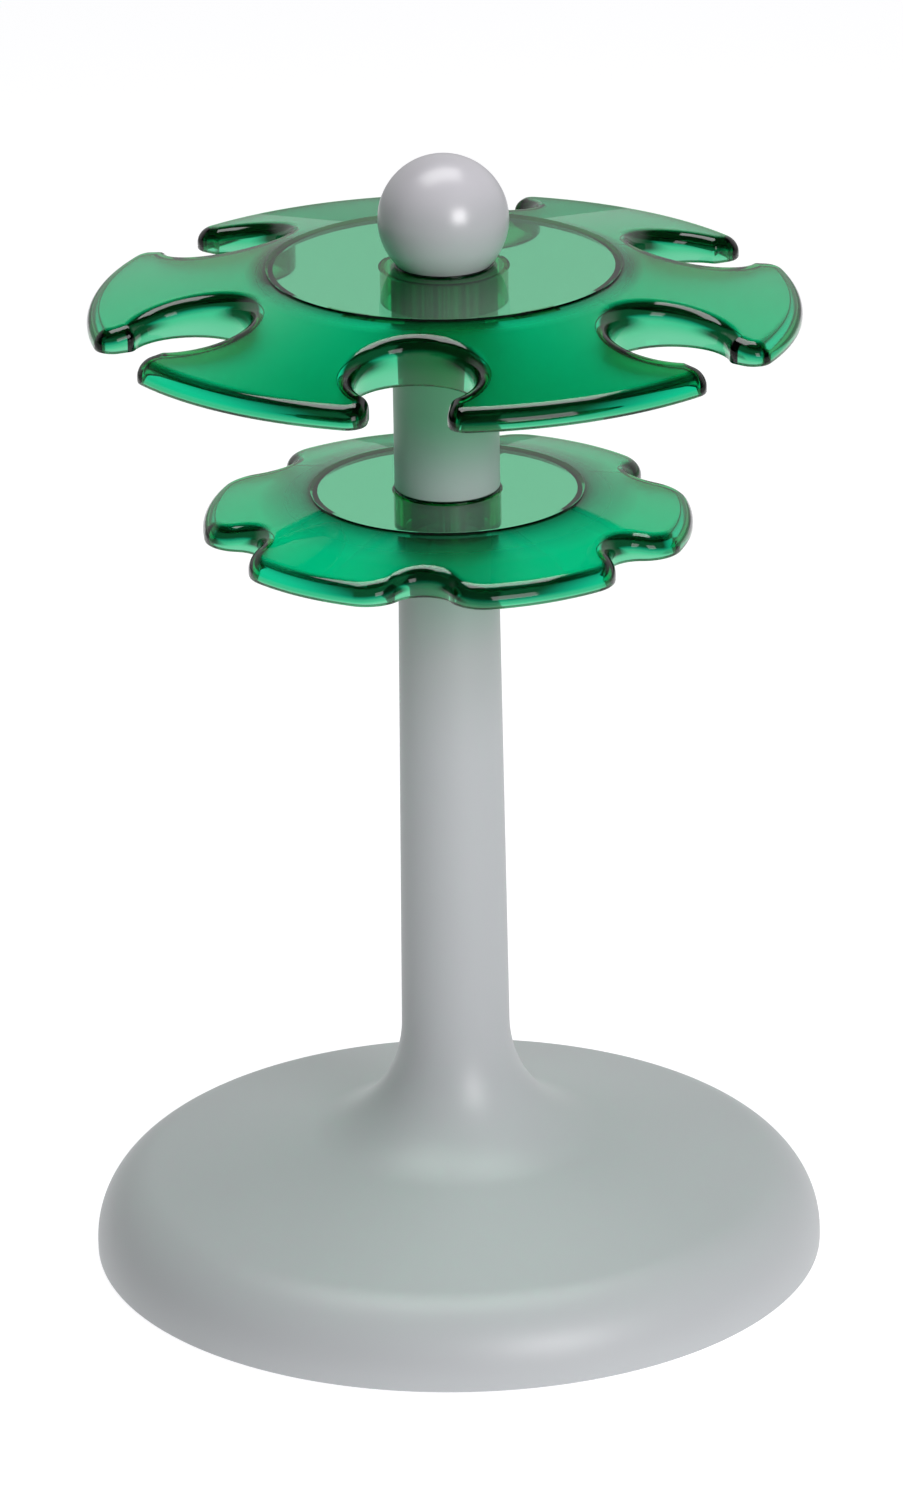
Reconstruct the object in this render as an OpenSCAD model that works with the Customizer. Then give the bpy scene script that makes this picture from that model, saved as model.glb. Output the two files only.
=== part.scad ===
// Carousel stand for six pipettes, built up along the vertical Z axis from the table at Z = 0.
// A weighted foot and its column carry a turning stack: spindle, two discs, spacer and ball knob.

/* [Foot and column] */
// Outer radius of the foot
foot_r = 105.5; // [96:0.5:112]
// Height of the foot's lower edge above the table
foot_gap = 0.6; // [0.4:0.1:1]
// Height of the rim's widest line above its lower edge
rim_rise = 2.5; // [1.5:0.5:4]
// Radius of the rounded rim
rim_round = 21.5; // [19:0.5:24]
// Slope of the foot's upper face in degrees
foot_slope = 13; // [10:1:15]
// Column radius where the flare begins
neck_r = 15.6; // [15:0.1:17]
// Radius of the flare between foot and column
flare_round = 36; // [30:1:42]
// Height of the column's top face above the table
column_top = 218.6; // [200:0.2:235]
// Taper of the column in degrees
column_draft = 0.55; // [0.3:0.05:0.8]
// Wall thickness of the foot and column moulding
shell_wall = 3; // [2.4:0.1:3.4]
// Thickness of the closed top of the column
deck_t = 10; // [8:0.5:14]

/* [Inside the foot] */
// Thickness of the bottom cover
cover_t = 3; // [2.6:0.1:4]
// Radius of the bottom cover
cover_r = 102.3; // [101.8:0.1:102.6]
// Depth of the cover inside the lower edge
cover_inset = 0.6; // [0.4:0.1:1]
// Outer radius of the cast ballast ring
ballast_r = 88; // [80:1:92]
// Inner radius of the cast ballast ring
ballast_hole_r = 38; // [34:1:50]
// Thickness of the ballast ring
ballast_t = 9; // [6:0.5:9.5]
// Clearance of the ballast ring's recesses round the screw cups
ballast_gap = 1.2; // [0.8:0.1:2]
// Number of stiffening ribs under the foot's upper face
rib_n = 8; // [4:1:12]
// Thickness of the stiffening ribs
rib_t = 2.2; // [1.6:0.2:3]
// Distance of the cover screws from the cover's edge
screw_inset = 8.8; // [8.3:0.1:9.5]
// Number of cover screws
screw_n = 4; // [3:1:6]
// Shank radius of the cover screws
screw_r = 1.7; // [1.5:0.1:2]
// Length of the screw shank under the head
screw_len = 8; // [6:0.5:9]
// Head radius of the cover screws
screw_head_r = 3.4; // [3:0.1:3.6]
// Head height of the cover screws
screw_head_t = 2.2; // [1.8:0.1:2.6]
// Number of rubber feet
pad_n = 4; // [3:1:8]
// Radius of the rubber feet
pad_r = 7; // [5:0.5:8]
// Distance of the rubber feet from the axis
pad_ring_r = 78; // [65:1:84]
// Depth of the rubber feet in the cover
pad_seat = 1.6; // [1:0.1:1.8]

/* [Discs] */
// Number of pipette places round the carousel
place_n = 6; // [4:1:6]
// Turn of the first place from the front, in degrees
place_turn = -6.4; // [-30:0.2:30]
// Slope of the discs' upper faces in degrees
disc_slope = 10.8; // [8:0.2:13]
// Radius of the rounded shoulder on the discs
shoulder = 4.3; // [3:0.1:4.6]
// Height of the straight skirt under the shoulder
skirt_h = 2.4; // [1.5:0.1:4]
// Wall thickness of the skirt
skirt_wall = 3; // [2.4:0.1:3.4]
// Thickness of the sloping face
face_t = 3; // [2.4:0.1:3.4]
// Thickness of the flat clear web
web_t = 2; // [1.6:0.1:2.6]
// Height of the step at the edge of the raised web
web_step = 0.6; // [0.4:0.1:1]
// Height of the small raised seat round the axis
seat_h = 0.5; // [0.3:0.1:1]
// Radius of the round on the skirt's lower edge
edge_round = 0.7; // [0.4:0.1:1]

/* [Upper disc] */
// Outer radius of the upper disc
upper_r = 100; // [97:0.5:106]
// Radius of the upper disc's flat web
upper_web_r = 50; // [44:0.5:51]
// Radius of the round pipette openings
hole_r = 16.5; // [15:0.1:17]
// Distance of the round openings from the axis
hole_ring_r = 76.5; // [75.5:0.1:78]
// Width of the throat that leads into each opening
throat_w = 21.6; // [18:0.2:24]
// Corner radius of the lobes at the rim
lobe_round = 5.4; // [5:0.1:7]
// Radius of the nose between opening and throat
nose_round = 2.6; // [1.6:0.1:3.2]
// Height of the collar round the spacer's upper end
socket_h = 10; // [6:0.5:12]
// Wall thickness of that collar
socket_wall = 1.2; // [1:0.1:2]
// Gap between that collar and the spacer
socket_gap = 1.9; // [0.3:0.1:2.2]

/* [Lower disc] */
// Outer radius of the lower disc
lower_r = 69.2; // [67.6:0.2:74]
// Radius of the lower disc's flat web
lower_web_r = 38.9; // [34:0.1:44]
// Radius of the open notches
notch_r = 8.5; // [7.5:0.1:9.5]
// Distance of the notch centres from the axis
notch_ring_r = 66.5; // [66:0.1:67.5]
// Radius of the rounded mouths of the notches
mouth_round = 11; // [9:0.5:12]
// Outer radius of the hub under the lower web
hub_r = 15.2; // [14.6:0.1:17]

/* [Spacer and knob] */
// Outer radius of the spacer sleeve
sleeve_r = 14.9; // [14.4:0.1:16]
// Length of the spacer sleeve
sleeve_len = 63.3; // [50:0.1:80]
// Wall thickness of the sleeve
sleeve_wall = 2.5; // [2:0.1:3]
// Height of the spigots that centre the sleeve
spigot_h = 3; // [2:0.5:5]
// Wall thickness of the spigots
spigot_wall = 2; // [1.6:0.1:2.4]
// Radius of the ball knob
ball_r = 18.35; // [17.5:0.05:22]
// Height of the ball's centre above its foot
ball_rise = 12.6; // [12.4:0.1:15]
// Radius of the ball's foot
ball_foot_r = 13.6; // [13.4:0.1:14.6]
// Hexagon size across corners of the threaded insert
insert_d = 13; // [12:0.5:15]
// Height of the threaded insert
insert_h = 12; // [10:0.5:14]

/* [Spindle and bearings] */
// Radius of the spindle
spindle_r = 4; // [3.5:0.1:4.5]
// Radius of the shoulder that carries the lower disc
step_r = 6; // [5.2:0.1:6.2]
// Length of the spindle below its shoulder
journal_len = 98; // [80:1:110]
// Thickness of the thrust washer
thrust_t = 1.2; // [0.8:0.1:1.6]
// Outer radius of the thrust washer
thrust_r = 10; // [8:0.5:11]
// Outer radius of the plain bushes
bush_r = 6; // [5.4:0.1:6.4]
// Length of the plain bushes
bush_len = 10; // [8:0.5:14]
// Flange radius of the bushes
bush_flange_r = 8; // [7:0.1:8.5]
// Flange thickness of the bushes
bush_flange_t = 1; // [0.8:0.1:1.4]
// Wall thickness of the lower bush's carrier
carrier_wall = 1.8; // [1.4:0.1:2.2]
// Outer radius of the end washer
end_washer_r = 7.5; // [6.5:0.5:8]
// Thickness of the end washer
end_washer_t = 1; // [0.8:0.1:1.4]
// Outer radius of the retaining ring
clip_r = 6.2; // [5.6:0.1:6.6]
// Thickness of the retaining ring
clip_t = 0.8; // [0.6:0.1:1]
// Depth of the groove for the retaining ring
groove_depth = 0.6; // [0.4:0.1:0.8]
// Outer radius of the clamp washer under the ball
clamp_r = 10; // [8:0.5:11]
// Thickness of the clamp washer
clamp_t = 1.5; // [1:0.1:1.6]

/* [Clearances] */
// Radial clearance of the spindle in its bushes
run_fit = 0.05; // [0.03:0.01:0.08]
// Gap between the turning stack and the stand
run_gap = 0.1; // [0.05:0.05:0.2]
// Radial clearance of parts that slip over each other
slip_fit = 0.1; // [0.05:0.05:0.2]
// Clearance of pressed and seated parts
press_fit = 0.02; // [0.01:0.01:0.05]

/* [Hidden] */
$fn = 96;

// Heights in the foot
rim_z = foot_gap + rim_rise;
cover_z = foot_gap + cover_inset;
cover_top = cover_z + cover_t;
cup_wall = 2;
cup_hole_r = screw_head_r + 0.6;
cup_r = cup_hole_r + cup_wall;
head_z = cover_z + 0.8;
screw_ring_r = cover_r - screw_inset;
cup_floor = head_z + screw_head_t;
cup_top = cup_floor + cup_wall;
ballast_top = cover_top + ballast_t;
boss_wall = 2.8;
boss_r = screw_r + boss_wall;
pad_h = cover_z + pad_seat;

// Profile of the foot and column
rim_x = foot_r - rim_round;
flare_x = neck_r + flare_round * cos(column_draft);
flare_z = rim_z + ((rim_x - flare_x) * sin(foot_slope) + rim_round + flare_round) / cos(foot_slope);
neck_z = flare_z - flare_round * sin(column_draft);
function column_r(z) = neck_r - (z - neck_z) * tan(column_draft);
function bore_r(z) = column_r(z) - shell_wall / cos(column_draft);

// Heights of the turning stack
stack_z = column_top + thrust_t + run_gap;
disc_gap = 0.2;
lower_z = stack_z + disc_gap;
function disc_rise(r, web_r) = web_step + tan(disc_slope) * (r - shoulder - web_r) + shoulder + skirt_h;
lower_web_z = lower_z + disc_rise(lower_r, lower_web_r);
sleeve_z = lower_web_z + seat_h;
upper_web_z = sleeve_z + sleeve_len + web_t;
upper_z = upper_web_z - disc_rise(upper_r, upper_web_r);
knob_z = upper_web_z + seat_h;
ball_z = knob_z + ball_rise;
bore_slip_r = spindle_r + slip_fit;
sleeve_bore_r = sleeve_r - sleeve_wall;
spigot_r = sleeve_bore_r - slip_fit;
socket_r = sleeve_r + socket_gap;
insert_z = knob_z + clamp_t + 0.3;
insert_top = insert_z + insert_h;
spindle_top = insert_top - 1;

// Lower end of the spindle
spindle_z = stack_z - journal_len;
clip_z = spindle_z + 2;
end_washer_z = clip_z + clip_t + slip_fit;
lower_bush_z = end_washer_z + end_washer_t + run_gap;
carrier_z = lower_bush_z + bush_flange_t;
carrier_h = bush_len + 2;
groove_r = spindle_r - groove_depth;

// Fineness of the disc outlines: steps along an opening's arc, its small rounds and the rim
arc_n = 10;
nose_n = 2;
lobe_n = 4;
rim_n = 6;
shoulder_n = 4;
sector = 360 / place_n;
tiny_round = 0.15;

// ---------- foot and column ----------

// Half section of the moulding, moved inwards by d, from the lower edge to a closing height top
module foot_profile(d, bottom, top) {
    rim = rim_round - d;
    flare = flare_round + d;
    rim_tip = [rim_x + rim * sin(foot_slope), rim_z + rim * cos(foot_slope)];
    flare_low = [flare_x - flare * sin(foot_slope), flare_z - flare * cos(foot_slope)];
    flare_high = [flare_x - flare * cos(column_draft), flare_z - flare * sin(column_draft)];
    top_r = column_r(top) - d / cos(column_draft);
    difference() {
        union() {
            translate([0, bottom]) square([foot_r - d, rim_z - bottom]);
            intersection() {
                translate([rim_x, rim_z]) circle(rim, $fn = 180);
                translate([rim_x, rim_z]) square([rim_round, rim_round]);
            }
            polygon([[0, bottom], [rim_x, bottom], [rim_x, rim_z], rim_tip, flare_low,
                [flare_x, flare_z], flare_high, [top_r, top], [0, top]]);
        }
        translate([flare_x, flare_z]) circle(flare, $fn = 180);
    }
}

// The solid inside the moulding's outer face, used to trim ribs and bosses
module foot_body(d, bottom, top) {
    rotate_extrude($fn = 180) foot_profile(d, bottom, top);
}

module screw_places() {
    for (i = [0 : screw_n - 1])
        rotate([0, 0, 360 / screw_n * (i + 0.5)]) translate([screw_ring_r, 0, 0]) children();
}

module pad_places() {
    for (i = [0 : pad_n - 1])
        rotate([0, 0, 360 / pad_n * i]) translate([pad_ring_r, 0, 0]) children();
}

// Ribs between the foot's upper face and the ballast, and bosses for the cover screws
module foot_stiffeners() {
    rib_inset = 4;
    intersection() {
        union() {
            for (i = [0 : rib_n - 1])
                rotate([0, 0, 360 / rib_n * (i + 0.5)])
                    translate([ballast_hole_r + rib_inset, -rib_t / 2, ballast_top])
                        cube([ballast_r - ballast_hole_r - 2 * rib_inset, rib_t, rim_round]);
            screw_places() translate([0, 0, cup_top]) cylinder(r = boss_r, h = rim_round);
        }
        foot_body(shell_wall / 2, foot_gap, column_top - deck_t / 2);
    }
}

module base_shell() {
    color("gainsboro")
    difference() {
        union() {
            difference() {
                foot_body(0, foot_gap, column_top);
                foot_body(shell_wall, foot_gap - 1, column_top - deck_t);
            }
            foot_stiffeners();
        }
        translate([0, 0, foot_gap - 1])
            cylinder(r = cover_r + slip_fit, h = cover_top - foot_gap + 1, $fn = 180);
        screw_places() translate([0, 0, cup_top - 1]) cylinder(r = screw_r, h = screw_len);
        translate([0, 0, column_top - deck_t - 1]) cylinder(r = bush_r + press_fit, h = deck_t + 2);
        translate([0, 0, column_top - bush_flange_t]) cylinder(r = bush_flange_r + slip_fit, h = 2);
    }
}

module base_ballast() {
    color("dimgray")
    translate([0, 0, cover_top]) difference() {
        cylinder(r = ballast_r, h = ballast_t - press_fit);
        translate([0, 0, -1]) cylinder(r = ballast_hole_r, h = ballast_t + 2);
        screw_places() translate([0, 0, -1]) cylinder(r = cup_r + ballast_gap, h = ballast_t + 2);
    }
}

module base_cover() {
    color("darkgray")
    difference() {
        union() {
            translate([0, 0, cover_z]) cylinder(r = cover_r, h = cover_t - press_fit, $fn = 180);
            screw_places() translate([0, 0, cover_z])
                cylinder(r = cup_r, h = cup_top - cover_z - press_fit);
        }
        screw_places() {
            translate([0, 0, cover_z - 1]) cylinder(r = cup_hole_r, h = cup_floor - cover_z + 1);
            translate([0, 0, cover_z]) cylinder(r = screw_r + slip_fit, h = cup_top);
        }
        pad_places() translate([0, 0, cover_z - 1]) cylinder(r = pad_r + press_fit, h = pad_seat + 1);
    }
}

module cover_screws() {
    cross_len = screw_head_r * 1.2;
    cross_t = 0.8;
    color("silver")
    screw_places() {
        difference() {
            translate([0, 0, head_z]) cylinder(r = screw_head_r, h = screw_head_t);
            for (a = [0, 90]) rotate([0, 0, a])
                translate([-cross_len / 2, -cross_t / 2, head_z - 1]) cube([cross_len, cross_t, 2]);
        }
        translate([0, 0, cup_floor]) cylinder(r = screw_r - press_fit, h = screw_len);
    }
}

module rubber_feet() {
    chamfer = 0.5;
    color("dimgray")
    pad_places() rotate_extrude() polygon([[0, 0], [pad_r - chamfer, 0], [pad_r, chamfer],
        [pad_r, pad_h - press_fit], [0, pad_h - press_fit]]);
}

// ---------- bearings in the column ----------

// A plain bush with its flange at the bottom
module flanged_bush() {
    difference() {
        union() {
            cylinder(r = bush_flange_r, h = bush_flange_t);
            cylinder(r = bush_r, h = bush_len);
        }
        translate([0, 0, -1]) cylinder(r = spindle_r + run_fit, h = bush_len + 2);
    }
}

module upper_bush() {
    color("ivory") translate([0, 0, column_top]) rotate([180, 0, 0]) flanged_bush();
}

module lower_bush() {
    color("ivory") translate([0, 0, lower_bush_z]) flanged_bush();
}

// A spoked plug that wedges in the tapered column and carries the lower bush
module bush_carrier() {
    rim_low = bore_r(carrier_z) - press_fit;
    rim_high = bore_r(carrier_z + carrier_h) - press_fit;
    hub = bush_r + press_fit + carrier_wall;
    color("gainsboro")
    difference() {
        union() {
            rotate_extrude() polygon([[rim_low - carrier_wall, carrier_z], [rim_low, carrier_z],
                [rim_high, carrier_z + carrier_h], [rim_high - carrier_wall, carrier_z + carrier_h]]);
            translate([0, 0, carrier_z]) cylinder(r = hub, h = carrier_h);
            for (i = [0 : 5]) rotate([0, 0, 60 * i])
                translate([hub - 1, -carrier_wall / 2, carrier_z])
                    cube([rim_high - hub, carrier_wall, carrier_h]);
        }
        translate([0, 0, carrier_z - 1]) cylinder(r = bush_r + press_fit, h = carrier_h + 2);
    }
}

module thrust_washer() {
    color("ivory") translate([0, 0, column_top]) difference() {
        cylinder(r = thrust_r, h = thrust_t);
        translate([0, 0, -1]) cylinder(r = bore_slip_r, h = thrust_t + 2);
    }
}

// ---------- spindle and its retaining parts ----------

module spindle() {
    color("silver")
    difference() {
        union() {
            translate([0, 0, spindle_z]) cylinder(r = spindle_r, h = spindle_top - spindle_z);
            translate([0, 0, stack_z]) cylinder(r = step_r, h = lower_web_z - web_t - stack_z);
        }
        translate([0, 0, clip_z]) difference() {
            cylinder(r = step_r, h = clip_t);
            cylinder(r = groove_r, h = clip_t);
        }
    }
}

module end_washer() {
    color("silver") translate([0, 0, end_washer_z]) difference() {
        cylinder(r = end_washer_r, h = end_washer_t);
        translate([0, 0, -1]) cylinder(r = bore_slip_r, h = end_washer_t + 2);
    }
}

// An open snap ring in the spindle's groove
module retaining_ring() {
    color("dimgray")
    translate([0, 0, clip_z + press_fit]) difference() {
        cylinder(r = clip_r, h = clip_t - 2 * press_fit);
        translate([0, 0, -1]) cylinder(r = groove_r + press_fit, h = clip_t + 2);
        translate([0, -groove_r * 0.8, -1]) cube([clip_r + 1, groove_r * 1.6, clip_t + 2]);
    }
}

// ---------- outlines of the discs ----------

// Points of an arc about c, from angle a to angle b in n steps, without its first point
function arc_to(c, r, a, b, n) =
    [for (i = [1 : n]) let (t = a + (b - a) * i / n) c + r * [cos(t), sin(t)]];

// Half of a round opening with its throat, moved outwards by d: from the inner end of the
// opening, round its arc, over the nose and along the throat to the lobe's corner on the rim
function half_slot(d) =
    let (nose = max(nose_round - d, tiny_round), lobe = max(lobe_round - d, tiny_round),
        ring = hole_r + d, side = throat_w / 2 + d, rim = upper_r - d,
        nose_y = side + nose, nose_x = hole_ring_r + sqrt((ring + nose) ^ 2 - nose_y ^ 2),
        lobe_y = side + lobe, lobe_x = sqrt((rim - lobe) ^ 2 - lobe_y ^ 2),
        open_a = atan2(nose_y, nose_x - hole_ring_r))
    concat([[hole_ring_r - ring, 0]],
        arc_to([hole_ring_r, 0], ring, 180, open_a, arc_n),
        arc_to([nose_x, nose_y], nose, open_a - 180, -90, nose_n),
        [[lobe_x, side]],
        arc_to([lobe_x, lobe_y], lobe, -90, atan2(lobe_y, lobe_x), lobe_n));

// Half of an open notch, moved outwards by d: its hollow arc, then the rounded mouth to the rim
function half_notch(d) =
    let (mouth = mouth_round - d, ring = notch_r + d, rim = lower_r - d,
        reach = rim - mouth, span = ring + mouth,
        mouth_x = (reach ^ 2 - span ^ 2 + notch_ring_r ^ 2) / (2 * notch_ring_r),
        mouth_y = sqrt(reach ^ 2 - mouth_x ^ 2),
        open_a = atan2(mouth_y, mouth_x - notch_ring_r))
    concat([[notch_ring_r - ring, 0]],
        arc_to([notch_ring_r, 0], ring, 180, open_a, arc_n - 3),
        arc_to([mouth_x, mouth_y], mouth, open_a - 180, atan2(mouth_y, mouth_x), lobe_n + 2));

function half(slotted, d) = slotted ? half_slot(d) : half_notch(d);
function turned(p, a) = [p.x * cos(a) - p.y * sin(a), p.x * sin(a) + p.y * cos(a)];
function place_angle(k) = -90 + place_turn + sector * k;

// Radius and half angle of each point of a half outline
function polar(p) = [norm(p), atan2(p.y, p.x)];

// One lobe as a grid: row u runs at the radius of outline point u, from one place to the next
function lobe_row(edge, k, u) =
    let (p = polar(edge[u]), a = place_angle(k))
    [for (v = [0 : rim_n]) let (t = a + p[1] + (sector - 2 * p[1]) * v / rim_n)
        p[0] * [cos(t), sin(t)]];

// The whole outline in the order of the grids' borders, all round the disc
function outline(edge) =
    let (last = len(edge) - 1)
    [for (k = [0 : place_n - 1]) let (a = place_angle(k), rim = lobe_row(edge, k, last))
        each concat([for (p = edge) turned(p, a)],
            [for (v = [1 : rim_n]) rim[v]],
            [for (u = [last - 1 : -1 : 1]) turned([edge[u].x, -edge[u].y], a + sector)])];

// Height of the sloping face at a point
function face_z(p, web_r, web_z) = web_z - web_step - tan(disc_slope) * (norm(p) - web_r);

// Vertices of one grid sheet: all lobes, then a circle inside the web's edge
function sheet(edge, web_r, web_z, drop) = concat(
    [for (k = [0 : place_n - 1]) for (u = [0 : len(edge) - 1]) for (p = lobe_row(edge, k, u))
        [p.x, p.y, face_z(p, web_r, web_z) - drop]],
    [for (i = [0 : place_n * rim_n - 1]) let (t = place_angle(0) + sector / rim_n * i)
        let (p = (web_r - 1) * [cos(t), sin(t)]) [p.x, p.y, face_z(p, web_r, web_z) - drop]]);

// Index in a sheet of lobe k's grid point; the inner end of an opening belongs to two lobes
function spot(k, u, v, rows) =
    u == 0 && v == rim_n
        ? ((k + 1) % place_n) * rows * (rim_n + 1)
        : (k * rows + u) * (rim_n + 1) + v;

function quad(a, b, c, d) = [[a, b, c], [a, c, d]];

// Triangles of a sheet, seen from above as counter-clockwise
function sheet_faces(rows) = concat(
    [for (k = [0 : place_n - 1]) for (u = [0 : rows - 2]) for (v = [0 : rim_n - 1])
        each quad(spot(k, u, v, rows), spot(k, u + 1, v, rows),
            spot(k, u + 1, v + 1, rows), spot(k, u, v + 1, rows))],
    [for (k = [0 : place_n - 1]) for (v = [0 : rim_n - 1])
        let (circle = place_n * rows * (rim_n + 1), here = k * rim_n + v,
            next = (here + 1) % (place_n * rim_n))
        each quad(circle + here, spot(k, 0, v, rows), spot(k, 0, v + 1, rows), circle + next)]);

// Indices of a sheet's border, in the order of outline()
function border(rows) =
    [for (k = [0 : place_n - 1]) each concat(
        [for (u = [0 : rows - 1]) spot(k, u, 0, rows)],
        [for (v = [1 : rim_n]) spot(k, rows - 1, v, rows)],
        [for (u = [rows - 2 : -1 : 1]) spot(k, u, rim_n, rows)])];

// Strip of triangles between two closed loops of indices
function strip(a, b) =
    [for (i = [0 : len(a) - 1]) let (j = (i + 1) % len(a)) each quad(a[i], b[i], b[j], a[j])];

function lift(points, z) = [for (p = points) [p.x, p.y, z]];
function follow(points, web_r, web_z, drop) =
    [for (p = points) [p.x, p.y, face_z(p, web_r, web_z) - drop]];

// The lobed shell: sloping face, rounded shoulder, skirt with a rounded edge, and the hollow below
module lobed_shell(slotted, web_r, web_z, low_z) {
    inner_fillet = 1.4;
    top_edge = half(slotted, shoulder);
    under_edge = half(slotted, skirt_wall + inner_fillet);
    rows = len(top_edge);
    top = sheet(top_edge, web_r, web_z, 0);
    under = sheet(under_edge, web_r, web_z, face_t);
    rings = concat(
        [for (i = [1 : shoulder_n]) let (a = 90 * i / shoulder_n)
            follow(outline(half(slotted, shoulder * (1 - sin(a)))), web_r, web_z,
                shoulder * (1 - cos(a)))],
        [lift(outline(half(slotted, 0)), low_z + edge_round),
            lift(outline(half(slotted, edge_round)), low_z),
            lift(outline(half(slotted, skirt_wall - edge_round / 2)), low_z),
            lift(outline(half(slotted, skirt_wall)), low_z + edge_round / 2),
            follow(outline(half(slotted, skirt_wall)), web_r, web_z, face_t + inner_fillet)]);
    count = len(rings[0]);
    ring_at = len(top) + len(under);
    loops = concat([border(rows)],
        [for (j = [0 : len(rings) - 1]) [for (i = [0 : count - 1]) ring_at + j * count + i]],
        [[for (i = border(rows)) i + len(top)]]);
    circle_n = place_n * rim_n;
    top_circle = [for (i = [0 : circle_n - 1]) len(top) - circle_n + i];
    under_circle = [for (i = [0 : circle_n - 1]) ring_at - circle_n + i];
    faces = concat(
        [for (f = sheet_faces(rows)) [f[2], f[1], f[0]]],
        [for (f = sheet_faces(rows)) [f[0], f[1], f[2]] + len(top) * [1, 1, 1]],
        [for (j = [0 : len(loops) - 2]) for (f = strip(loops[j], loops[j + 1])) [f[2], f[1], f[0]]],
        [for (f = strip(under_circle, top_circle)) [f[2], f[1], f[0]]]);
    polyhedron(concat(top, under, [for (r = rings) each r]), faces);
}

// ---------- turning stack ----------

// A short centring tube
module spigot(z) {
    translate([0, 0, z]) difference() {
        cylinder(r = spigot_r, h = spigot_h + 0.5);
        translate([0, 0, -1]) cylinder(r = spigot_r - spigot_wall, h = spigot_h + 3);
    }
}

module lower_disc() {
    web_mid = lower_web_z - web_t / 2;
    hub_rib_n = 8;
    hub_rib_t = 1.6;
    hub_rib_z = lower_z + 2;
    color([0.1, 0.6, 0.4, 0.7])
    difference() {
        union() {
            lobed_shell(false, lower_web_r, lower_web_z, lower_z);
            translate([0, 0, lower_web_z - web_t]) cylinder(r = lower_web_r, h = web_t);
            translate([0, 0, lower_web_z - 0.5]) cylinder(r = hub_r, h = seat_h + 0.5);
            spigot(lower_web_z + seat_h - 0.5);
            difference() {
                translate([0, 0, lower_z]) cylinder(r = hub_r, h = web_mid - lower_z);
                translate([0, 0, lower_z - 1])
                    cylinder(r = sleeve_bore_r, h = lower_web_z - web_t - lower_z + 1);
            }
            for (i = [0 : hub_rib_n - 1]) rotate([0, 0, 360 / hub_rib_n * i])
                translate([step_r + slip_fit, -hub_rib_t / 2, hub_rib_z])
                    cube([sleeve_bore_r - step_r, hub_rib_t, web_mid - hub_rib_z]);
        }
        translate([0, 0, lower_z - 1]) cylinder(r = bore_slip_r, h = lower_web_z - lower_z + spigot_h + 4);
    }
}

module spacer_sleeve() {
    color("gainsboro") translate([0, 0, sleeve_z]) difference() {
        cylinder(r = sleeve_r, h = sleeve_len - press_fit);
        translate([0, 0, -1]) cylinder(r = sleeve_bore_r, h = sleeve_len + 2);
    }
}

module upper_disc() {
    under_z = upper_web_z - web_t;
    color([0.1, 0.6, 0.4, 0.7])
    difference() {
        union() {
            lobed_shell(true, upper_web_r, upper_web_z, upper_z);
            translate([0, 0, under_z]) cylinder(r = upper_web_r, h = web_t);
            translate([0, 0, upper_web_z - 0.5]) cylinder(r = ball_foot_r + 0.3, h = seat_h + 0.5);
            spigot(under_z - spigot_h);
            translate([0, 0, under_z - socket_h]) difference() {
                cylinder(r = socket_r + socket_wall, h = socket_h + web_t / 2);
                translate([0, 0, -1]) cylinder(r = socket_r, h = socket_h + 1);
            }
        }
        translate([0, 0, under_z - socket_h]) cylinder(r = bore_slip_r, h = socket_h + web_t + seat_h + 1);
    }
}

module clamp_washer() {
    color("silver") translate([0, 0, knob_z]) difference() {
        cylinder(r = clamp_r, h = clamp_t);
        translate([0, 0, -1]) cylinder(r = bore_slip_r, h = clamp_t + 2);
    }
}

// A hexagonal insert keeps the ball from turning on its thread
module knob_insert() {
    color("goldenrod") translate([0, 0, insert_z]) difference() {
        cylinder(d = insert_d, h = insert_h, $fn = 6);
        translate([0, 0, -1]) cylinder(r = spindle_r + press_fit, h = insert_h + 2);
    }
}

module ball_knob() {
    foot_h = max(0.1, ball_rise - sqrt(ball_r ^ 2 - ball_foot_r ^ 2));
    color("whitesmoke")
    difference() {
        union() {
            intersection() {
                translate([0, 0, ball_z]) sphere(r = ball_r, $fn = 120);
                translate([0, 0, knob_z]) cylinder(r = ball_r + 1, h = ball_rise + ball_r + 1);
            }
            translate([0, 0, knob_z]) cylinder(r = ball_foot_r, h = foot_h);
        }
        translate([0, 0, knob_z - 1]) cylinder(r = clamp_r + slip_fit, h = insert_z - knob_z + 1);
        translate([0, 0, knob_z])
            cylinder(d = insert_d + 2 * press_fit, h = insert_top + press_fit - knob_z, $fn = 6);
    }
}

base_shell();
base_ballast();
base_cover();
cover_screws();
rubber_feet();
bush_carrier();
lower_bush();
upper_bush();
thrust_washer();
spindle();
end_washer();
retaining_ring();
lower_disc();
spacer_sleeve();
upper_disc();
clamp_washer();
knob_insert();
ball_knob();
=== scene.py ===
import math

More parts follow.
